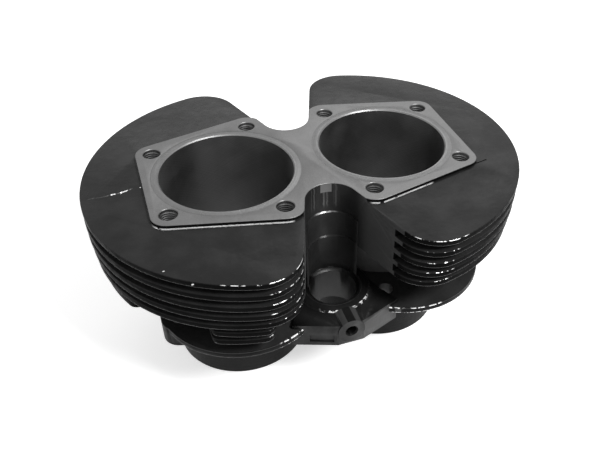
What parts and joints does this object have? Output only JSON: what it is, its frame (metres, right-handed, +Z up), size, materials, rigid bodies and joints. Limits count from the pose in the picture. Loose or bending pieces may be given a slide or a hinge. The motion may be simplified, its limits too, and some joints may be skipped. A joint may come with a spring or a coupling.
{
  "type": "engine cylinder barrel",
  "caption": "Finned cast-iron cylinder barrel for an air-cooled parallel-twin engine, with two honed bores, a gasket deck, push-rod channels, a base flange and long spigots.",
  "frame": {"origin": "under the middle of the barrel, on the plane of the two spigot ends that it stands on", "axes": "+Z up along the bores to the gasket deck, X along the line of the two bores, +Y to the rear of the engine"},
  "size_m": [0.2316, 0.1732, 0.1147],
  "materials": {
    "casting": "gloss black paint with bare machined faces"
  },
  "bodies": {
    "root": {"cylinder_barrel": "casting"}
  },
  "joints": []
}
